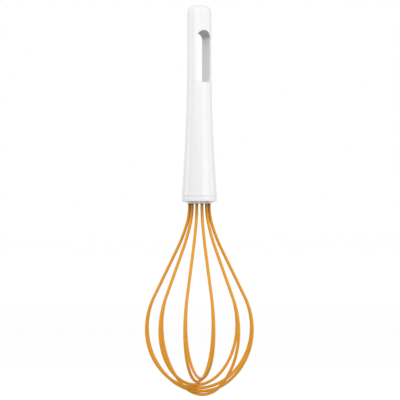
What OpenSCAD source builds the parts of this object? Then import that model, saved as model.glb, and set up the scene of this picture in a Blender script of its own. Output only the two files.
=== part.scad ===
// Balloon whisk: six nested loops of coated wire, anchored in a cup-shaped end cap that
// plugs into a hollow, flared handle with a hanging slot through its upper end.
// Lengths are in millimetres and angles in degrees. Z runs up the axis, the slot runs along Y,
// and the origin is where a hook bears on the top of the slot.

/* [Handle] */
// Length of the handle from the seam to its butt end
handle_length = 136.4; // [110:0.1:180]
// Straight part of the handle below its butt end, above the start of the flare
grip_length = 32.4; // [10:0.1:60]
// Solid length left between the slot and the butt end
slot_from_end = 18.4; // [8:0.1:30]
// Height of the hanging slot
slot_height = 36.9; // [15:0.1:50]
// Width of the hanging slot
slot_width = 10.5; // [6:0.1:14]
// Corner radius of the slot's arched top
slot_top_corner = 5.2; // [1:0.1:7]
// Corner radius of the slot's bottom
slot_bottom_corner = 2.5; // [1:0.1:7]
// Thickness of the handle beside the slot
slot_side_wall = 3.4; // [1.5:0.1:6]
// Radius on the edge of the butt end
butt_round = 4.5; // [0.5:0.1:6]
// Thickness of the handle round its socket at the mouth
mouth_wall = 2.5; // [1.8:0.1:5]
// Thickness of the handle round its inner hollow, where the grip is straight
hollow_wall = 3; // [1.5:0.1:5]
// Solid length left between the inner hollow and the slot
hollow_roof = 6; // [2:0.5:15]

/* [End cap] */
// Height of the end cap from its underside to the seam
cap_height = 5.5; // [4.2:0.1:10]
// Height of the low tapered collar round the wire holes, down to the flat underside
cap_collar = 0.75; // [0.2:0.05:1.5]
// How much the collar's radius grows from the underside up
collar_taper = 0.7; // [0.1:0.05:1.5]
// Drop of the cap's conical rim down to the collar
cap_drop = 1.15; // [0.4:0.05:2]
// Radius on the lower edge of the cap
cap_edge = 0.2; // [0.1:0.05:0.8]
// Flat land outside the wire holes on the underside
cap_land = 0.35; // [0.2:0.05:1.5]
// Chamfer on both edges of the seam, which makes its groove
seam_chamfer = 0.15; // [0.05:0.05:0.8]
// Length of the cap's spigot inside the handle
spigot_length = 10; // [7:0.5:16]
// Wall of the spigot
spigot_wall = 1.3; // [0.8:0.1:3]
// Radial gap between the spigot and the handle's socket
spigot_gap = 0.05; // [0.02:0.01:0.2]
// Gap left above the spigot at the end of the socket
socket_end_gap = 0.5; // [0.2:0.1:2]
// Height of the snap bead round the spigot
snap_height = 0.35; // [0.1:0.05:0.6]
// Width of the snap bead at its foot
snap_width = 1.6; // [0.8:0.1:3]
// Height of the middle of the snap bead above the seam
snap_rise = 5; // [2:0.1:5]

/* [Anchor] */
// Rim left between the wire ends and the wall of the cap's cup
cup_rim = 1; // [0.5:0.1:3]
// Thickness of the anchor plate on the cup's floor
plate_thickness = 1.6; // [0.8:0.1:2.5]
// Depth of the resin's top below the rim of the cup
resin_below_rim = 1.4; // [0.5:0.1:2.5]
// Resin left over the ends of the wires
resin_cover = 1; // [0.4:0.1:2]

/* [Wires] */
// Outer diameter of the coated wire
coat_diameter = 2.15; // [1.6:0.05:2.8]
// Diameter of the steel core
core_diameter = 1.2; // [0.6:0.05:1.4]
// Depth to which the coat runs up into the cap
coat_seat = 3; // [1:0.1:4]
// Gap where a coat, core or cast piece is bonded to its neighbour
bond_gap = 0.02; // [0.015:0.005:0.05]
// Radial gap of a wire in its drilled hole
hole_gap = 0.05; // [0.02:0.01:0.2]

/* [Balloon] */
// Radius of the ring on which the wires leave the cap
wire_ring_radius = 7.2; // [6:0.1:10]
// Straight length of each wire below the cap
exit_run = 1; // [0.5:0.1:10]
// Bend radius of the wire's first bend outwards
root_radius = 45; // [20:1:80]
// Angle from the axis after the first bend
root_angle = 16.7; // [8:0.1:20]
// Bend radius of the long, gentler bend that follows
flank_radius = 116; // [60:1:160]
// Steepest angle of the balloon's side from the axis
flank_angle = 26.6; // [22:0.1:32]
// Bend radius of the shoulder back to the widest point
shoulder_radius = 51; // [25:1:90]
// Widest diameter over the wires
balloon_diameter = 80; // [70:0.5:110]
// Drop from the widest point to the tip of the shortest loop, on the wire's centre line
tip_depth = 35.7; // [25:0.1:60]
// Angle where the belly's bend passes into the tip's bend
tip_angle = 50.4; // [40:0.1:60]
// Gap between one loop and the next where they cross at the tip
loop_gap = 0.15; // [0.1:0.01:1.5]
// Angle from X of the shortest loop's plane
first_loop_turn = 80; // [0:1:180]

/* [Hidden] */
$fn = 72;
LOOPS = 6;

// Reach of a cut past the face that it opens
past = 1;
// A bend and its neighbour differ by this in radius and lap by this much, so that they join cleanly
join_step = 0.01;
join_lap = 0.2;
// Straight steps along the handle's flare and round its small radii
flare_steps = 14;
round_steps = 8;

// Anchor, cap and handle follow from the ring of wires outwards
loop_turn = 180 / LOOPS;
coat_radius = coat_diameter / 2;
core_radius = core_diameter / 2;
cup_radius = wire_ring_radius + core_radius + cup_rim;
spigot_radius = cup_radius + spigot_wall;
socket_radius = spigot_radius + spigot_gap;
mouth_radius = socket_radius + mouth_wall;
land_radius = wire_ring_radius + coat_radius + cap_land;
collar_radius = land_radius + collar_taper;
grip_radius = slot_width / 2 + slot_side_wall;
hollow_radius = grip_radius - hollow_wall;

// Heights above the cap's underside
seam_z = cap_height;
butt_z = seam_z + handle_length;
flare_z = butt_z - grip_length;
slot_top_z = butt_z - slot_from_end;
slot_bottom_z = slot_top_z - slot_height;
socket_top_z = seam_z + spigot_length + socket_end_gap;
hollow_top_z = slot_bottom_z - hollow_roof;
plate_top_z = seam_z + plate_thickness;
resin_top_z = seam_z + spigot_length - resin_below_rim;
core_top_z = resin_top_z - resin_cover;
snap_z = seam_z + snap_rise;
rim_z = cap_collar + cap_drop;

// Balloon: the side's straight run closes the outline at the widest radius
equator_radius = balloon_diameter / 2 - coat_radius;
tip_step = coat_diameter + loop_gap;
root_out = root_radius * (1 - cos(root_angle));
flank_out = flank_radius * (cos(root_angle) - cos(flank_angle));
shoulder_out = shoulder_radius * (1 - cos(flank_angle));
side_run = (equator_radius - wire_ring_radius - root_out - flank_out - shoulder_out) / sin(flank_angle);

// The belly and tip radii that bring a loop from the widest point to the axis in the given depth
tip_det = (1 - cos(tip_angle)) * (1 - sin(tip_angle)) - cos(tip_angle) * sin(tip_angle);
function belly_radius(depth) = (equator_radius * (1 - sin(tip_angle)) - cos(tip_angle) * depth) / tip_det;
function tip_radius(depth) = ((1 - cos(tip_angle)) * depth - sin(tip_angle) * equator_radius) / tip_det;

// A loop's route as [length, 0] for a run and [bend radius, turn] for a bend, from one end to the other
function half_route(depth, top) = [
    [top + exit_run, 0],
    [root_radius, root_angle],
    [flank_radius, flank_angle - root_angle],
    [side_run, 0],
    [shoulder_radius, -flank_angle],
    [belly_radius(depth), -tip_angle]
];
function backwards(list) = [for (i = [len(list) - 1:-1:0]) list[i]];
function route(depth, top) = concat(
    half_route(depth, top),
    [[tip_radius(depth), -2 * (90 - tip_angle)]],
    backwards(half_route(depth, top))
);

// Walking a route: the place and heading at the start of each of its pieces
function aim(angle) = [cos(angle), sin(angle)];
function side(turn) = turn > 0 ? 90 : -90;
function hub(at, heading, piece) = at + piece[0] * aim(heading + side(piece[1]));
function step_on(at, heading, piece) = piece[1] == 0
    ? at + piece[0] * aim(heading)
    : hub(at, heading, piece) + piece[0] * aim(heading + piece[1] - side(piece[1]));
function walk(pieces, at, heading, i = 0) = i == len(pieces) ? [] : concat(
    [[at, heading]],
    walk(pieces, step_on(at, heading, pieces[i]), heading + pieces[i][1], i + 1)
);

// One piece of a route, drawn in the XY plane; odd pieces are a hair thinner and lap into their neighbours
module piece_of_wire(piece, at, heading, odd, outer, inner) {
    trim = odd ? join_step : 0;
    lap = odd ? join_lap : 0;
    if (piece[1] == 0)
        translate([at[0], at[1], 0])
            rotate([0, 0, heading])
                rotate([0, 90, 0])
                    translate([0, 0, -lap])
                        linear_extrude(piece[0] + 2 * lap)
                            wire_section(outer - trim, inner - trim);
    else {
        centre = hub(at, heading, piece);
        spare = lap / piece[0] * 180 / PI;
        start = heading - side(piece[1]) + min(piece[1], 0) - spare;
        translate([centre[0], centre[1], 0])
            rotate([0, 0, start])
                rotate_extrude(angle = abs(piece[1]) + 2 * spare)
                    translate([piece[0], 0])
                        wire_section(outer - trim, inner - trim);
    }
}

module wire_section(outer, inner) {
    difference() {
        circle(r = outer);
        if (inner > 0)
            circle(r = inner);
    }
}

// A whole loop from the height top above the cap's underside, down round the balloon and back
module wire_loop(number, top, outer, inner) {
    pieces = route(tip_depth + (number - 1) * tip_step, top);
    stops = walk(pieces, [wire_ring_radius, top], -90);
    rotate([0, 0, first_loop_turn - (number - 1) * loop_turn])
        rotate([90, 0, 0])
            for (i = [0:len(pieces) - 1])
                piece_of_wire(pieces[i], stops[i][0], stops[i][1], i % 2 == 1, outer, inner);
}

// Moves what is drawn from the cap's underside to the hook's bearing point on the slot
module placed() {
    translate([0, 0, -slot_top_z])
        children();
}

module on_wire_ring() {
    for (i = [0:2 * LOOPS - 1])
        rotate([0, 0, first_loop_turn + i * loop_turn])
            translate([wire_ring_radius, 0, 0])
                children();
}

// The snap bead's points up a wall of the given radius, also for the groove that it sits in
function snap_points(wall) = [
    [wall, snap_z - snap_width / 2],
    [wall + snap_height, snap_z - snap_width / 4],
    [wall + snap_height, snap_z + snap_width / 4],
    [wall, snap_z + snap_width / 2]
];

// Outline of the handle: the flare starts straight at the grip and widens with the square of the drop
flare_length = flare_z - seam_z;
flare_gain = mouth_radius - grip_radius;
function flare_at(z) = grip_radius + flare_gain * pow((flare_z - z) / flare_length, 2);
butt_edge = min(butt_round, grip_radius - past);
flare_points = [
    for (i = [0:flare_steps])
        let (z = seam_z + seam_chamfer + (flare_length - seam_chamfer) * i / flare_steps)
            [flare_at(z), z]
];
butt_points = [
    for (i = [0:round_steps])
        [grip_radius, butt_z] + butt_edge * (aim(90 * i / round_steps) - [1, 1])
];

module slot_outline() {
    largest = min(slot_width, slot_height) / 2 - join_step;
    polygon([
        for (quarter = [0:3])
            let (
                sx = quarter == 0 || quarter == 3 ? 1 : -1,
                sy = quarter < 2 ? 1 : -1,
                corner = min(sy > 0 ? slot_top_corner : slot_bottom_corner, largest),
                centre = [sx * (slot_width / 2 - corner), sy * (slot_height / 2 - corner)]
            )
                for (i = [0:round_steps])
                    centre + corner * aim(90 * (quarter + i / round_steps))
    ]);
}

module handle_shell() {
    color("white")
        placed()
            difference() {
                rotate_extrude()
                    polygon(concat(
                        [[0, seam_z], [mouth_radius - seam_chamfer, seam_z]],
                        flare_points,
                        butt_points,
                        [[0, butt_z]]
                    ));
                rotate_extrude()
                    polygon(concat(
                        [[0, seam_z - past], [socket_radius, seam_z - past]],
                        snap_points(socket_radius),
                        [[socket_radius, socket_top_z], [0, socket_top_z]]
                    ));
                translate([0, 0, seam_z])
                    cylinder(r = hollow_radius, h = hollow_top_z - seam_z);
                translate([0, 0, (slot_top_z + slot_bottom_z) / 2])
                    rotate([90, 0, 0])
                        translate([0, 0, -mouth_radius - past])
                            linear_extrude(2 * (mouth_radius + past))
                                slot_outline();
            }
}

module end_cap() {
    edge_points = [
        for (i = [0:round_steps])
            [mouth_radius - cap_edge, rim_z + cap_edge] + cap_edge * aim(90 * i / round_steps - 90)
    ];
    color("white")
        placed()
            difference() {
                rotate_extrude()
                    polygon(concat(
                        [[0, 0], [land_radius, 0], [collar_radius, cap_collar]],
                        edge_points,
                        [
                            [mouth_radius, seam_z - seam_chamfer],
                            [mouth_radius - seam_chamfer, seam_z],
                            [spigot_radius, seam_z]
                        ],
                        snap_points(spigot_radius),
                        [
                            [spigot_radius, seam_z + spigot_length],
                            [cup_radius, seam_z + spigot_length],
                            [cup_radius, seam_z],
                            [0, seam_z]
                        ]
                    ));
                on_wire_ring() {
                    translate([0, 0, -past])
                        cylinder(r = coat_radius + hole_gap, h = coat_seat + past);
                    cylinder(r = core_radius + hole_gap, h = seam_z + past);
                }
            }
}

module anchor_plate() {
    color("lightgrey")
        placed()
            difference() {
                translate([0, 0, seam_z])
                    cylinder(r = cup_radius - hole_gap, h = plate_thickness);
                on_wire_ring()
                    cylinder(r = core_radius + hole_gap, h = plate_top_z + past);
            }
}

module resin_plug() {
    color("wheat")
        placed()
            difference() {
                translate([0, 0, plate_top_z])
                    cylinder(r = cup_radius - bond_gap, h = resin_top_z - plate_top_z);
                on_wire_ring()
                    cylinder(r = core_radius + bond_gap, h = core_top_z);
            }
}

module coat(number) {
    color("orange")
        placed()
            wire_loop(number, coat_seat, coat_radius, core_radius + bond_gap);
}

module core(number) {
    color("silver")
        placed()
            wire_loop(number, core_top_z, core_radius, 0);
}

handle_shell();
end_cap();
anchor_plate();
resin_plug();
coat(1);  // coat_1
coat(2);  // coat_2
coat(3);  // coat_3
coat(4);  // coat_4
coat(5);  // coat_5
coat(6);  // coat_6
core(1);  // core_1
core(2);  // core_2
core(3);  // core_3
core(4);  // core_4
core(5);  // core_5
core(6);  // core_6
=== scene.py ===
import math

import bmesh
import bpy
import numpy as np
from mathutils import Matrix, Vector


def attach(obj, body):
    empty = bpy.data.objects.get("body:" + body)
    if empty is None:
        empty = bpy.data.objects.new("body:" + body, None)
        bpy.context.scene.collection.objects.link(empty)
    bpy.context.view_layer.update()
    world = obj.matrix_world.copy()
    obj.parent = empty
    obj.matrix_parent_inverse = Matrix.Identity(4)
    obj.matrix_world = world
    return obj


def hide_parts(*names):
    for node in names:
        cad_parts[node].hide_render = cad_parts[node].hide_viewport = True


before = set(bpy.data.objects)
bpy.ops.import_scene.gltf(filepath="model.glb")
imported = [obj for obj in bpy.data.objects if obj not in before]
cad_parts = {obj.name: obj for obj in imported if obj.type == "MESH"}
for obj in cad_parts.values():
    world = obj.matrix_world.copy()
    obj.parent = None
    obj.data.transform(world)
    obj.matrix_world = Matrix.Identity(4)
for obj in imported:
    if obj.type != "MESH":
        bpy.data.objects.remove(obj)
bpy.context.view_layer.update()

# Steel cores: six lengths of drawn spring wire, each bent to a loop that nests in the next one.
# They give the cage its spring and run up through the end cap, where a cast plug locks their ends.
# The drawing die leaves fine scratches along the wire, so the steel is satin rather than bright.
mm = 0.001
loop_count = 6
loop_numbers = range(1, loop_count + 1)


class Signal:
    """A socket of a node tree. Sums, differences and products of signals and numbers add the Math
    nodes that work them out."""

    def __init__(self, tree, socket):
        self.tree = tree
        self.socket = socket

    @classmethod
    def node(cls, tree, kind, settings=None, sockets=None, out=0):
        """Adds a node: its settings are set first, then each socket gets its value or signal."""
        made = tree.nodes.new(kind)
        for name, value in (settings or {}).items():
            setattr(made, name, value)
        for name, value in (sockets or {}).items():
            if isinstance(value, Signal):
                tree.links.new(value.socket, made.inputs[name])
            else:
                made.inputs[name].default_value = value
        return None if out is None else cls(tree, made.outputs[out])

    def worked(self, operation, first, second):
        """Two values or signals put through one Math operation."""
        settings = {"operation": operation}
        return Signal.node(self.tree, "ShaderNodeMath", settings, {0: first, 1: second})

    def __add__(self, other):
        return self.worked("ADD", self, other)

    __radd__ = __add__

    def __mul__(self, other):
        return self.worked("MULTIPLY", self, other)

    __rmul__ = __mul__

    def __sub__(self, other):
        return self.worked("SUBTRACT", self, other)

    def __rsub__(self, other):
        return self.worked("SUBTRACT", other, self)


def grain(tree, size, detail, stretch=(1.0, 1.0, 1.0)):
    """Cloudy noise from 0 to 1 in the piece's own coordinates, with spots of about the given size.
    A stretch below 1 along an axis draws the spots out along it."""
    place = Signal.node(tree, "ShaderNodeTexCoord", out="Object")
    place = Signal.node(tree, "ShaderNodeMapping", {}, {"Vector": place, "Scale": stretch})
    sockets = {"Vector": place, "Scale": 1.0 / size, "Detail": detail}
    return Signal.node(tree, "ShaderNodeTexNoise", {}, sockets)


def tinted(share, first, second):
    """The colour that lies a share of the way from the first colour, or signal, to the second."""
    ends = [end if isinstance(end, Signal) else (*end, 1.0) for end in (first, second)]
    sockets = {0: share, 6: ends[0], 7: ends[1]}
    return Signal.node(share.tree, "ShaderNodeMix", {"data_type": "RGBA"}, sockets, out=2)


def relief(height, depth):
    """The bumped normal of a surface whose height signal is worth the given depth in metres."""
    sockets = {"Height": height, "Strength": 1.0, "Distance": depth}
    return Signal.node(height.tree, "ShaderNodeBump", {}, sockets)


def finish(name, recipe):
    """A material whose surface shader gets the values and signals that its recipe gives."""
    material = bpy.data.materials.new(name)
    material.use_nodes = True
    tree = material.node_tree
    tree.nodes.clear()
    surface = Signal.node(tree, "ShaderNodeBsdfPrincipled", {}, recipe(tree))
    Signal.node(tree, "ShaderNodeOutputMaterial", {}, {"Surface": surface}, out=None)
    return material


def drawn_steel(tree):
    """Grey steel with scratches along the wire, which runs up and down where its ends are bare."""
    scratch = grain(tree, size=0.12 * mm, detail=3.0, stretch=(1.0, 1.0, 0.04))
    return {
        "Base Color": tinted(scratch, (0.56, 0.56, 0.57), (0.68, 0.68, 0.68)),
        "Metallic": 1.0,
        "Roughness": 0.2 + 0.2 * scratch,
        "Normal": relief(scratch, depth=0.004 * mm),
    }


def dressed(piece, material):
    """Gives a piece one material, in the place of any that it has."""
    piece.data.materials.clear()
    piece.data.materials.append(material)


steel_wire = finish("drawn_steel", drawn_steel)
for number in loop_numbers:
    dressed(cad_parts[f"core_{number}"], steel_wire)

# Silicone coats: a soft orange sleeve round each steel loop, satin, so that pans aren't scratched.
# Each ends 3 mm up inside the end cap. The loops nest: each hangs a wire lower than the one inside
# it and stands a twelfth of a turn further round, so that they cross at the tip without touching.
cap_underside = -123.5 * mm
coat_radius = 1.075 * mm
coat_bore = 0.62 * mm
coat_seat = 3.0 * mm
coat_sides = 28
ring_spacing = 0.9 * mm
wire_ring = 7.2 * mm
exit_run = 1.0 * mm
root_radius = 45.0 * mm
root_turn = math.radians(16.7)
flank_radius = 116.0 * mm
flank_turn = math.radians(26.6)
shoulder_radius = 51.0 * mm
cage_radius = 40.0 * mm
tip_turn = math.radians(50.4)
first_loop_depth = 35.7 * mm
loop_gap = 0.15 * mm
first_loop_turn = math.radians(80)
loop_turn = math.radians(30)
weld_distance = 0.001 * mm
crisp_angle = math.radians(32)
# Painted shade: the coat's colour darkens over this length below the cap, where the cap shades the
# wire's root.
root_shade_length = 14.0 * mm
# Painted contact shadow: darker still over this shorter length right under the cap.
contact_shadow_length = 1.2 * mm


def loop_route(number):
    """Lengths and turns of a loop's bends, from one end round the tip to the other. The straight
    side closes the outline at the widest radius, and the belly and tip radii bring it to the axis
    at the loop's own depth: two equations, one for the way in and one for the way down."""
    widest = cage_radius - coat_radius
    depth = first_loop_depth + (number - 1) * (2 * coat_radius + loop_gap)
    out = wire_ring + root_radius * (1 - np.cos(root_turn))
    out += flank_radius * (np.cos(root_turn) - np.cos(flank_turn))
    out += shoulder_radius * (1 - np.cos(flank_turn))
    side = (widest - out) / np.sin(flank_turn)
    across = [1 - np.cos(tip_turn), np.cos(tip_turn)]
    down = [np.sin(tip_turn), 1 - np.sin(tip_turn)]
    belly_radius, tip_radius = np.linalg.solve([across, down], [widest, depth])
    bends = [
        (coat_seat + exit_run, 0.0),
        (root_radius * root_turn, root_turn),
        (flank_radius * (flank_turn - root_turn), flank_turn - root_turn),
        (side, 0.0),
        (shoulder_radius * flank_turn, -flank_turn),
        (belly_radius * tip_turn, -tip_turn),
    ]
    tip = (tip_radius * (np.pi - 2 * tip_turn), 2 * tip_turn - np.pi)
    lengths, turns = np.array(bends + [tip] + bends[::-1]).T
    return lengths, turns


def walked(lengths, turns, start, heading, spacing):
    """Points and headings along a route. The heading turns evenly over each length, and a point
    on a bend lies along a chord: the way along the bend times sin(half turn) / (half turn)."""
    headings = heading + np.concatenate([[0], np.cumsum(turns)])
    chords = (lengths * np.sinc(turns / (2 * np.pi)))[:, None]
    middles = headings[:-1] + turns / 2
    corners = chords * np.stack([np.cos(middles), np.sin(middles)], axis=1)
    corners = start + np.concatenate([[[0, 0]], np.cumsum(corners, axis=0)])
    ends = np.concatenate([[0], np.cumsum(lengths)])
    way = np.linspace(0, ends[-1], int(ends[-1] / spacing) + 1)
    bend = np.clip(np.searchsorted(ends, way, side="right") - 1, 0, len(lengths) - 1)
    part = way - ends[bend]
    swung = part * turns[bend] / lengths[bend]
    aim = headings[bend] + swung / 2
    reach = part * np.sinc(swung / (2 * np.pi))
    points = corners[bend] + reach[:, None] * np.stack([np.cos(aim), np.sin(aim)], axis=1)
    return points, headings[bend] + swung


def sleeve(points, headings, radius, azimuth):
    """A circle carried along a route that lies in an upright plane through the axis. It is spanned
    by the route's own normal in that plane and by the plane's normal."""
    angle = np.linspace(0, 2 * np.pi, coat_sides, endpoint=False)
    across = radius * np.cos(angle)
    out = points[:, :1] - np.sin(headings)[:, None] * across
    up = points[:, 1:] + np.cos(headings)[:, None] * across
    aside = np.broadcast_to(radius * np.sin(angle), out.shape)
    x = out * np.cos(azimuth) - aside * np.sin(azimuth)
    y = out * np.sin(azimuth) + aside * np.cos(azimuth)
    return np.stack([x, y, cap_underside + up], axis=-1)


def quads(rows, columns, closed_rows, closed_columns):
    """Corner numbers of the four-sided faces between the points of a grid, counted row by row."""
    row = np.arange(rows if closed_rows else rows - 1)[:, None]
    column = np.arange(columns if closed_columns else columns - 1)[None, :]
    next_row = (row + 1) % rows
    next_column = (column + 1) % columns
    corners = [row * columns + column, row * columns + next_column]
    corners += [next_row * columns + next_column, next_row * columns + column]
    return np.stack(corners, axis=-1).reshape(-1, 4)


def moulded(name, grids, closed_rows=False, closed_columns=True):
    """A piece made of grids of points. The points where grids meet are merged and all faces turned
    outwards; edges that turn more than the crisp angle stay crisp."""
    counts = np.cumsum([0] + [grid.shape[0] * grid.shape[1] for grid in grids])
    points = np.concatenate([grid.reshape(-1, 3) for grid in grids])
    faces = [quads(*grid.shape[:2], closed_rows, closed_columns) for grid in grids]
    faces = np.concatenate([face + count for face, count in zip(faces, counts)])
    mesh = bpy.data.meshes.new(name)
    mesh.from_pydata(points.tolist(), [], faces.tolist())
    shell = bmesh.new()
    shell.from_mesh(mesh)
    bmesh.ops.remove_doubles(shell, verts=shell.verts, dist=weld_distance)
    bmesh.ops.recalc_face_normals(shell, faces=shell.faces)
    shell.to_mesh(mesh)
    shell.free()
    mesh.shade_smooth()
    mesh.set_sharp_from_angle(angle=crisp_angle)
    piece = bpy.data.objects.new(name, mesh)
    bpy.context.scene.collection.objects.link(piece)
    return piece


def eased(signal, low, high):
    """0 where a signal is below the low value, 1 above the high one, and a smooth rise between."""
    limits = {"Value": signal, "From Min": low, "From Max": high}
    settings = {"interpolation_type": "SMOOTHSTEP"}
    return Signal.node(signal.tree, "ShaderNodeMapRange", settings, limits)


def raised(tree, low, high):
    """0 below the low height on a piece, 1 above the high one, and a smooth rise between them."""
    place = Signal.node(tree, "ShaderNodeTexCoord", out="Object")
    height = Signal.node(tree, "ShaderNodeSeparateXYZ", {}, {0: place}, out="Z")
    return eased(height, low, high)


def orange_silicone(tree):
    """Satin silicone: the orange drifts a little along the wire, and a fine powdery grain breaks up
    the sheen. Painted shade darkens the coat over the last 14 mm below the cap, where the cap
    shades it, and a darker painted contact shadow lies where the wire goes in."""
    drift = grain(tree, size=20 * mm, detail=1.0)
    powder = grain(tree, size=0.22 * mm, detail=3.0)
    root_shade = raised(tree, cap_underside - root_shade_length, cap_underside)
    contact_shadow = raised(tree, cap_underside - contact_shadow_length, cap_underside - contact_shadow_length / 2)
    clean = tinted(drift, (0.775, 0.326, 0.011), (0.815, 0.356, 0.014))
    # Painted shade: the dark orange that the coat turns to towards the cap.
    root_shaded = tinted(root_shade, clean, (0.43, 0.175, 0.009))
    return {
        # Painted contact shadow: a dark brown right where the wire goes into the cap.
        "Base Color": tinted(contact_shadow, root_shaded, (0.22, 0.092, 0.01)),
        "Roughness": 0.44 + 0.16 * powder,
        "Specular IOR Level": 0.33,
        "Normal": relief(powder, depth=0.006 * mm),
    }


silicone = finish("orange_silicone", orange_silicone)
for number in loop_numbers:
    lengths, turns = loop_route(number)
    points, headings = walked(lengths, turns, [wire_ring, coat_seat], -np.pi / 2, ring_spacing)
    azimuth = first_loop_turn - (number - 1) * loop_turn
    outside = sleeve(points, headings, coat_radius, azimuth)
    inside = sleeve(points, headings, coat_bore, azimuth)
    tube = np.concatenate([outside, inside[::-1]])
    coat = moulded(f"silicone_coat_{number}", [tube], closed_rows=True)
    dressed(coat, silicone)
    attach(coat, "root")
    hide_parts(f"coat_{number}")

# End cap: a moulded cup of white plastic. Twelve stepped holes in its floor take the coated wires,
# its rim slopes down to a low collar round them, and its spigot snaps into the handle with a bead.
# Its heights count from its underside.
wire_holes = 2 * loop_count
hole_radius = 1.125 * mm
core_hole = 0.65 * mm
hole_edge = 0.12 * mm
step_edge = 0.05 * mm
columns_per_hole = 12
rows_to_hole = 4
drilled_inner = 5.0 * mm
drilled_outer = 8.5 * mm
floor_thickness = 5.5 * mm
collar_radius = 8.625 * mm
collar_top_radius = 9.325 * mm
collar_height = 0.75 * mm
rim_radius = 12.65 * mm
rim_height = 1.9 * mm
seam_depth = 0.65 * mm
seam_half_width = 0.14 * mm
spigot_radius = 10.1 * mm
spigot_top = 15.5 * mm
bead_radius = 10.45 * mm
bead_middle = 10.5 * mm
bead_half_crest = 0.4 * mm
bead_half_foot = 0.8 * mm
cup_radius = 8.8 * mm
# Painted shade round the wires: the collar is grey up to about this height above the underside.
collar_shade_height = 0.32 * mm
# Painted shade along the underside's outer edge, just under the rim: it fades in between these
# heights and stops at the top one.
rim_shade_start = 1.15 * mm
rim_shade_full = 1.65 * mm
rim_shade_top = 1.95 * mm


def rounded(corners, reaches, steps=6):
    """A profile with its inner corners rounded. Each becomes an arc between the two points at its
    reach along its edges: a rational quadratic curve weighted by the cosine of half the turn."""
    corners = np.asarray(corners, float)
    back = corners[:-2] - corners[1:-1]
    onward = corners[2:] - corners[1:-1]
    back = back / np.linalg.norm(back, axis=1, keepdims=True)
    onward = onward / np.linalg.norm(onward, axis=1, keepdims=True)
    turn = np.arccos(np.clip(-(back * onward).sum(axis=1), -1, 1))
    reach = np.asarray(reaches, float)[:, None]
    start = (corners[1:-1] + back * reach)[:, None]
    middle = corners[1:-1][:, None]
    end = (corners[1:-1] + onward * reach)[:, None]
    t = np.linspace(0, 1, steps + 1)[None, :, None]
    weight = 2 * np.cos(turn / 2)[:, None, None] * t * (1 - t)
    total = (1 - t) ** 2 + weight + t ** 2
    arcs = ((1 - t) ** 2 * start + weight * middle + t ** 2 * end) / total
    return np.concatenate([corners[:1], arcs.reshape(-1, 2), corners[-1:]])


def turned(profile, angles):
    """A profile of radius and height carried round the axis through the given angles."""
    radius = profile[:, :1]
    height = np.broadcast_to(profile[:, 1:], (len(profile), len(angles)))
    return np.stack([radius * np.cos(angles), radius * np.sin(angles), height], axis=-1)


def drilled_sector(azimuth):
    """One twelfth of the cap's floor round one wire hole. Straight lines run from the sector's
    outline to the hole's edge, which rounds over into the hole; the hole narrows at the coat's end
    and opens into the cup's floor, where lines run back out to the same outline."""
    share = np.linspace(0, 1, columns_per_hole, endpoint=False)
    half = loop_turn / 2
    full = np.ones(columns_per_hole)
    reach = drilled_outer - drilled_inner
    radius = [drilled_outer * full, drilled_outer - reach * share]
    radius += [drilled_inner * full, drilled_inner + reach * share]
    swing = [half * (2 * share - 1), half * full, half * (1 - 2 * share), -half * full]
    radius, swing = np.concatenate(radius), np.concatenate(swing)
    outline = np.stack([radius * np.cos(swing), radius * np.sin(swing)], axis=-1)
    angle = np.linspace(-np.pi / 4, 7 * np.pi / 4, len(outline), endpoint=False)
    circle = np.stack([np.cos(angle), np.sin(angle)], axis=-1)
    profile = [
        [hole_radius + hole_edge, 0],
        [hole_radius, 0],
        [hole_radius, coat_seat],
        [core_hole, coat_seat],
        [core_hole, floor_thickness],
    ]
    profile = rounded(profile, [hole_edge, step_edge, step_edge], steps=4)
    hole = np.array([wire_ring, 0]) + profile[:, :1, None] * circle
    inward = np.linspace(0, 1, rows_to_hole, endpoint=False)[:, None, None]
    under = outline + (hole[0] - outline) * inward
    above = (outline + (hole[-1] - outline) * inward)[::-1]
    flat = np.concatenate([under, hole, above])
    level = np.zeros(rows_to_hole)
    heights = np.concatenate([level, profile[:, 1], level + floor_thickness])
    heights = np.broadcast_to(heights[:, None], flat.shape[:2]) + cap_underside
    x = flat[..., 0] * np.cos(azimuth) - flat[..., 1] * np.sin(azimuth)
    y = flat[..., 0] * np.sin(azimuth) + flat[..., 1] * np.cos(azimuth)
    return np.stack([x, y, heights], axis=-1)


cap_profile = [
    [drilled_outer, 0],
    [collar_radius, 0],
    [collar_top_radius, collar_height],
    [rim_radius, rim_height],
    [rim_radius, floor_thickness - seam_half_width],
    [rim_radius - seam_depth, floor_thickness - seam_half_width],
    [rim_radius - seam_depth, floor_thickness],
    [spigot_radius, floor_thickness],
    [spigot_radius, bead_middle - bead_half_foot],
    [bead_radius, bead_middle - bead_half_crest],
    [bead_radius, bead_middle + bead_half_crest],
    [spigot_radius, bead_middle + bead_half_foot],
    [spigot_radius, spigot_top],
    [cup_radius, spigot_top],
    [cup_radius, floor_thickness],
    [drilled_outer, floor_thickness],
]
cap_reach = [0.1, 0.2, 0.08, 0.05, 0.05, 0.05, 0.1, 0.1, 0.1, 0.1, 0.1, 0.3, 0.2, 0.1]
cap_profile = rounded(cap_profile, np.array(cap_reach) * mm) + [0, cap_underside]
cap_angles = np.linspace(0, 2 * np.pi, wire_holes * columns_per_hole, endpoint=False)
cap_angles += first_loop_turn - loop_turn / 2
disc = np.array([[0, 0], [drilled_inner / 2, 0], [drilled_inner, 0]]) + [0, cap_underside]
cap_grids = [turned(cap_profile, cap_angles), turned(disc, cap_angles)]
cap_grids.append(turned(disc + [0, floor_thickness], cap_angles))
cap_grids += [drilled_sector(first_loop_turn + wire * loop_turn) for wire in range(wire_holes)]
end_cap = moulded("end_cap_moulding", cap_grids)


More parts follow.
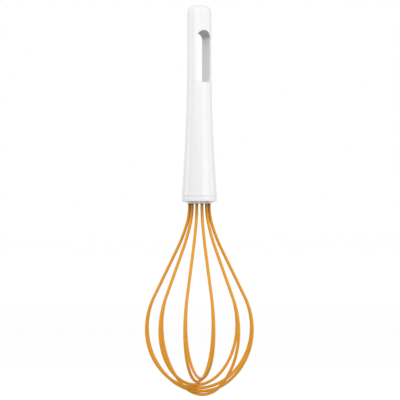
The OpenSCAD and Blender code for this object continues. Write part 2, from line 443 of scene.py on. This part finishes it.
def white_plastic(tree):
    """Glossy white moulding: the white drifts by a hair, the gloss has the slight orange peel of a
    polished mould, and faint handling scuffs dull it in patches."""
    drift = grain(tree, size=18 * mm, detail=1.0)
    peel = grain(tree, size=1.1 * mm, detail=1.0)
    scuff = grain(tree, size=0.35 * mm, detail=4.0, stretch=(1.0, 1.0, 0.3))
    return {
        "Base Color": tinted(drift, (0.865, 0.867, 0.87), (0.885, 0.885, 0.883)),
        "Roughness": 0.07 + 0.1 * scuff * drift,
        "Normal": relief(peel, depth=0.002 * mm),
    }


def cap_white(tree):
    """The white moulding, with painted shade: a grey on the low collar round the wires, where
    shade falls between them under the cap, and a fainter grey along the outer edge of its
    underside."""
    finished = white_plastic(tree)
    clear = raised(tree, cap_underside + collar_shade_height, cap_underside + 2 * collar_shade_height)
    rise = raised(tree, cap_underside + rim_shade_start, cap_underside + rim_shade_full)
    above = raised(tree, cap_underside + rim_height, cap_underside + rim_shade_top)
    # Painted shade: a grey band on the outer edge of the cap's underside.
    underside = tinted(rise - above, finished["Base Color"], (0.6, 0.61, 0.63))
    # Painted shade: a darker grey on the low collar between the wires.
    finished["Base Color"] = tinted(clear, (0.44, 0.43, 0.42), underside)
    return finished


dressed(end_cap, finish("cap_white", cap_white))
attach(end_cap, "root")
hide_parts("end_cap")

# Anchor plate and cast plug: a drilled steel disc on the cup's floor spaces the bare wire ends,
# and resin poured over it locks them and keeps water out of the handle. Both are out of sight.


def rolled_steel(tree):
    """Sheet steel with a fine grain from the rolls, all one way."""
    lay = grain(tree, size=0.2 * mm, detail=3.0, stretch=(1.0, 0.05, 1.0))
    return {
        "Base Color": tinted(lay, (0.55, 0.55, 0.56), (0.66, 0.66, 0.66)),
        "Metallic": 1.0,
        "Roughness": 0.26 + 0.2 * lay,
        "Normal": relief(lay, depth=0.005 * mm),
    }


def cast_resin(tree):
    """Amber casting resin, clouded by fine bubbles, with a slightly wavy poured surface."""
    cloud = grain(tree, size=2.5 * mm, detail=4.0)
    wave = grain(tree, size=4 * mm, detail=1.0)
    return {
        "Base Color": tinted(cloud, (0.7, 0.58, 0.33), (0.82, 0.74, 0.52)),
        "Roughness": 0.3 + 0.25 * cloud,
        "Normal": relief(wave, depth=0.06 * mm),
    }


dressed(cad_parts["anchor_plate"], finish("rolled_steel", rolled_steel))
dressed(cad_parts["resin_plug"], finish("cast_resin", cast_resin))

# Handle: one hollow white moulding, straight at the grip and flared to the mouth, where the cap's
# spigot snaps in. The hanging slot goes straight through the solid upper end, arched at its top.
# Heights count from the slot's top, where a hook bears.
grip_radius = 8.65 * mm
flare_top = -14.0 * mm
flare_length = 104.0 * mm
flare_rows = 70
butt_height = 18.4 * mm
butt_round = 4.5 * mm
butt_ring = 3.0 * mm
seam_height = cap_underside + floor_thickness
mouth_edge = 0.3 * mm
spigot_gap = 0.05 * mm
socket_depth = 10.5 * mm
hollow_radius = 5.65 * mm
hollow_top = 75.1 * mm
handle_columns = 96
slot_width = 10.5 * mm
slot_bottom = -36.9 * mm
slot_crown = 5.2 * mm
slot_corner = 2.5 * mm
slot_edge = 0.28 * mm
patch_top = 9.0 * mm
patch_bottom = -45.7 * mm
wall_rows = 8
edge_rows = 7
skin_rows = 18
skin_spread = 1.4
slot_margin = 1.0 * mm
# Painted shade at the slot's crown: the wall's grey darkens between these heights.
crown_shade_bottom = -6.6 * mm
crown_shade_full = -3.4 * mm


def handle_radius(height):
    """The handle's radius: straight at the grip, then wider by the square of the drop below it."""
    drop = np.clip((flare_top - height) / flare_length, 0, None)
    return grip_radius + (rim_radius - grip_radius) * drop ** 2


def slot_outline():
    """The slot's outline in columns, from the middle of its bottom up the right side to its crown
    and down the left. Each column has the outline's outward angle, the centre and radius that it
    turns about, and the angle and height of its point on the edge of the patch of skin round it."""
    corner_start, side_start, side_end, arch_end, crown = 5, 43, 83, 125, 126
    patch_side_start, patch_side_end = 24, 102
    columns = 2 * crown
    low, high = slot_bottom + slot_corner, -slot_crown
    low_x, high_x = slot_width / 2 - slot_corner, slot_width / 2 - slot_crown
    right = np.array([
        [0, -np.pi / 2, 0, low, slot_corner],
        [corner_start, -np.pi / 2, low_x, low, slot_corner],
        [side_start, 0, low_x, low, slot_corner],
        [side_end, 0, high_x, high, slot_crown],
        [arch_end, np.pi / 2, high_x, high, slot_crown],
        [crown, np.pi / 2, 0, high, slot_crown],
    ])
    left = right[-2::-1] * [-1, -1, -1, 1, 1] + [columns, np.pi, 0, 0, 0]
    stops = np.concatenate([right, left]).T
    column = np.arange(columns)
    rows = [np.interp(column, stops[0], row) for row in stops[1:]]
    patch = np.array([
        [0, 0, patch_bottom],
        [patch_side_start, np.pi / 2, patch_bottom],
        [patch_side_end, np.pi / 2, patch_top],
        [columns - patch_side_end, -np.pi / 2, patch_top],
        [columns - patch_side_start, -np.pi / 2, patch_bottom],
        [columns, 0, patch_bottom],
    ]).T
    return rows + [np.interp(column, patch[0], row) for row in patch[1:]]


def slot_skin():
    """The front half of the slot and the skin round it. Rows run out along the slot's wall from the
    middle of the handle, round over its edge, and on over the skin to the patch's outline, blended
    in angle and height. The rounding is a quarter circle between the wall and the skin."""
    angle, x, z, corner_radius, swing, height = slot_outline()

    def at(offset):
        """The slot's outline, moved outwards by an offset, and the skin's distance in front."""
        across = x + (corner_radius + offset) * np.cos(angle)
        upward = z + (corner_radius + offset) * np.sin(angle)
        return across, upward, np.sqrt(handle_radius(upward) ** 2 - across ** 2)

    across, upward, skin = at(0)
    share = np.linspace(0, 1, wall_rows, endpoint=False)[:, None]
    depth = -share * (skin - slot_edge)
    wall = [np.broadcast_to(across, depth.shape), depth, np.broadcast_to(upward, depth.shape)]
    bend = np.linspace(0, np.pi / 2, edge_rows)[:, None]
    across, upward, skin = at(slot_edge * (1 - np.cos(bend)))
    edge = [across, slot_edge * (1 - np.sin(bend)) - skin, upward]
    start_swing = np.arcsin(across[-1] / handle_radius(upward[-1]))
    share = np.linspace(0, 1, skin_rows + 1)[1:, None] ** skin_spread
    skin_swing = start_swing + (swing - start_swing) * share
    skin_height = upward[-1] + (height - upward[-1]) * share
    radius = handle_radius(skin_height)
    skin = [radius * np.sin(skin_swing), -radius * np.cos(skin_swing), skin_height]
    rows = [np.concatenate(parts) for parts in zip(wall, edge, skin)]
    return np.stack(rows, axis=-1)


front = slot_skin()
back = front * [-1, -1, 1]
handle_angles = np.linspace(0, 2 * np.pi, handle_columns, endpoint=False)
butt = [
    [0, butt_height],
    [butt_ring, butt_height],
    [grip_radius, butt_height],
    [grip_radius, patch_top],
]
butt = rounded(butt, [0, butt_round], steps=12)
flare_heights = np.linspace(patch_bottom, seam_height + mouth_edge, flare_rows)
flare = np.stack([handle_radius(flare_heights), flare_heights], axis=-1)
socket_radius = spigot_radius + spigot_gap
snap_radius = bead_radius + spigot_gap
snap_middle = bead_middle - floor_thickness
mouth = np.array([
    [rim_radius, seam_half_width],
    [rim_radius - seam_depth, seam_half_width],
    [rim_radius - seam_depth, 0],
    [socket_radius, 0],
    [socket_radius, snap_middle - bead_half_foot],
    [snap_radius, snap_middle - bead_half_crest],
    [snap_radius, snap_middle + bead_half_crest],
    [socket_radius, snap_middle + bead_half_foot],
    [socket_radius, socket_depth],
    [hollow_radius, socket_depth],
    [hollow_radius, hollow_top],
    [0, hollow_top],
])
mouth = np.concatenate([flare[-1:], mouth + [0, seam_height]])
mouth_reach = [0.05, 0.05, 0.05, 0.15, 0.1, 0.1, 0.1, 0.1, 0.3, 0.3, 0.5]
mouth = rounded(mouth, np.array(mouth_reach) * mm)
barrel = turned(np.concatenate([flare, mouth[1:]]), handle_angles)
handle = moulded("handle_moulding", [front, back, turned(butt, handle_angles), barrel])


def slot_wall(tree):
    """1 on the slot's wall, which lies nearer the axis than the grip's skin, and 0 elsewhere."""
    place = Signal.node(tree, "ShaderNodeTexCoord", out="Object")
    height = Signal.node(tree, "ShaderNodeSeparateXYZ", {}, {0: place}, out="Z")
    sockets = {0: place, 1: (1, 1, 0)}
    flat = Signal.node(tree, "ShaderNodeVectorMath", {"operation": "MULTIPLY"}, sockets)
    length = {"operation": "LENGTH"}
    reach = Signal.node(tree, "ShaderNodeVectorMath", length, {0: flat}, out="Value")
    limits = {"Value": reach, "From Min": grip_radius - slot_edge, "From Max": grip_radius}
    inside = Signal.node(tree, "ShaderNodeMapRange", {}, {**limits, "To Min": 1.0, "To Max": 0.0})
    above = height.worked("GREATER_THAN", height, slot_bottom - slot_margin)
    below = height.worked("LESS_THAN", height, slot_margin)
    return inside * above * below


def handle_white(tree):
    """The cap's glossy white. The slot's wall is matt, as its mould core left it; painted shade
    makes the wall a little greyer, and darker towards its top under the slot's crown."""
    wall = slot_wall(tree)
    crown_shade = raised(tree, crown_shade_bottom, crown_shade_full)
    # Painted shade: the slot's wall greyer than the skin, and darker towards its crown.
    wall_shade_colour = tinted(crown_shade, (0.795, 0.8, 0.805), (0.5, 0.505, 0.515))
    finished = white_plastic(tree)
    finished["Base Color"] = tinted(wall, finished["Base Color"], wall_shade_colour)
    finished["Roughness"] = finished["Roughness"] + 0.45 * wall
    return finished


dressed(handle, finish("handle_white", handle_white))
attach(handle, "root")
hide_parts("handle_shell")

# Studio: the whisk hangs upright over a pale floor in a white room, under large soft lamps.
# Floor and room look white, also in reflections, but light the whisk only at a plain level.
view_turn = math.radians(-25)
camera_distance = 1051.2 * mm
camera_height = -120.85 * mm
camera_aside = 0.46 * mm
lamp_distance = 1.0
room_light = 0.51
floor_height = -0.32
floor_reach = 6.0
floor_lines = 13
floor_white = 0.6
near_glow = 0.56
far_glow = 0.69
far_away = 2.4

scene = bpy.context.scene
scene.view_settings.view_transform = "Standard"
toward = Vector((math.sin(view_turn), -math.cos(view_turn), 0))
aside = Vector((math.cos(view_turn), math.sin(view_turn), 0))
lens = bpy.data.cameras.new("camera")
lens.sensor_width = 36.0
lens.lens = 132.0
camera = bpy.data.objects.new("camera", lens)
camera.location = toward * camera_distance + aside * camera_aside + Vector((0, 0, camera_height))
camera.rotation_euler = (math.radians(90), 0, view_turn)
scene.collection.objects.link(camera)
scene.camera = camera


def seen(tree):
    """1 for rays that show a surface to the eye, in a mirror or through glass, and 0 for others."""
    kinds = ("Camera", "Glossy", "Transmission")
    rays = [Signal.node(tree, "ShaderNodeLightPath", out=f"Is {kind} Ray") for kind in kinds]
    shown = rays[0] + rays[1] + rays[2]
    return shown.worked("MINIMUM", shown, 1.0)


def softbox(name, turn, height, width, tall, brightness):
    """A soft lamp at an angle in degrees from the camera's side, which faces the whisk's axis at
    its own height. Its power is four times its area times its brightness, where white is 1."""
    lamp = bpy.data.lights.new(name, "AREA")
    lamp.shape = "RECTANGLE"
    lamp.size = width
    lamp.size_y = tall
    lamp.energy = 4 * width * tall * brightness
    angle = view_turn + math.radians(turn)
    away = lamp_distance * Vector((math.sin(angle), -math.cos(angle), 0))
    box = bpy.data.objects.new(name, lamp)
    box.location = away + Vector((0, 0, height))
    box.rotation_euler = away.to_track_quat("Z", "Y").to_euler()
    box.visible_camera = False
    scene.collection.objects.link(box)


softbox("upper_left_softbox", turn=-22, height=0.535, width=1.155, tall=0.93, brightness=1.58)
softbox("right_strip", turn=46, height=-0.008, width=0.975, tall=0.185, brightness=1.6)
softbox("upper_right_softbox", turn=46, height=0.49, width=0.975, tall=0.815, brightness=0.77)
softbox("left_softbox", turn=-97, height=0.3, width=0.5, tall=0.8, brightness=1.1)
softbox("far_right_softbox", turn=95, height=0.3, width=0.5, tall=0.8, brightness=1.08)

room = bpy.data.worlds.new("room")
room.use_nodes = True
room.node_tree.nodes.clear()
strength = room_light + (1 - room_light) * seen(room.node_tree)
level = {"Color": (1, 1, 1, 1), "Strength": strength}
light = Signal.node(room.node_tree, "ShaderNodeBackground", {}, level)
Signal.node(room.node_tree, "ShaderNodeOutputWorld", {}, {"Surface": light}, out=None)
scene.world = room

span = np.linspace(-floor_reach, floor_reach, floor_lines)
floor_x, floor_y = np.meshgrid(span, span)
floor_grid = np.stack([floor_x, floor_y, np.full(floor_x.shape, floor_height)], axis=-1)
floor = moulded("floor", [floor_grid], closed_columns=False)
floor_paint = bpy.data.materials.new("floor_paint")
floor_paint.use_nodes = True
tree = floor_paint.node_tree
tree.nodes.clear()
place = Signal.node(tree, "ShaderNodeTexCoord", out="Object")
away = Signal.node(tree, "ShaderNodeVectorMath", {"operation": "LENGTH"}, {0: place}, out="Value")
glow = seen(tree) * (near_glow + (far_glow - near_glow) * eased(away, 0.0, far_away))
white = {"Color": (floor_white, floor_white, floor_white, 1)}
paint = Signal.node(tree, "ShaderNodeBsdfDiffuse", {}, white)
bright = Signal.node(tree, "ShaderNodeEmission", {}, {"Color": (1, 1, 1, 1), "Strength": glow})
surface = Signal.node(tree, "ShaderNodeAddShader", {}, {0: paint, 1: bright})
Signal.node(tree, "ShaderNodeOutputMaterial", {}, {"Surface": surface}, out=None)
dressed(floor, floor_paint)
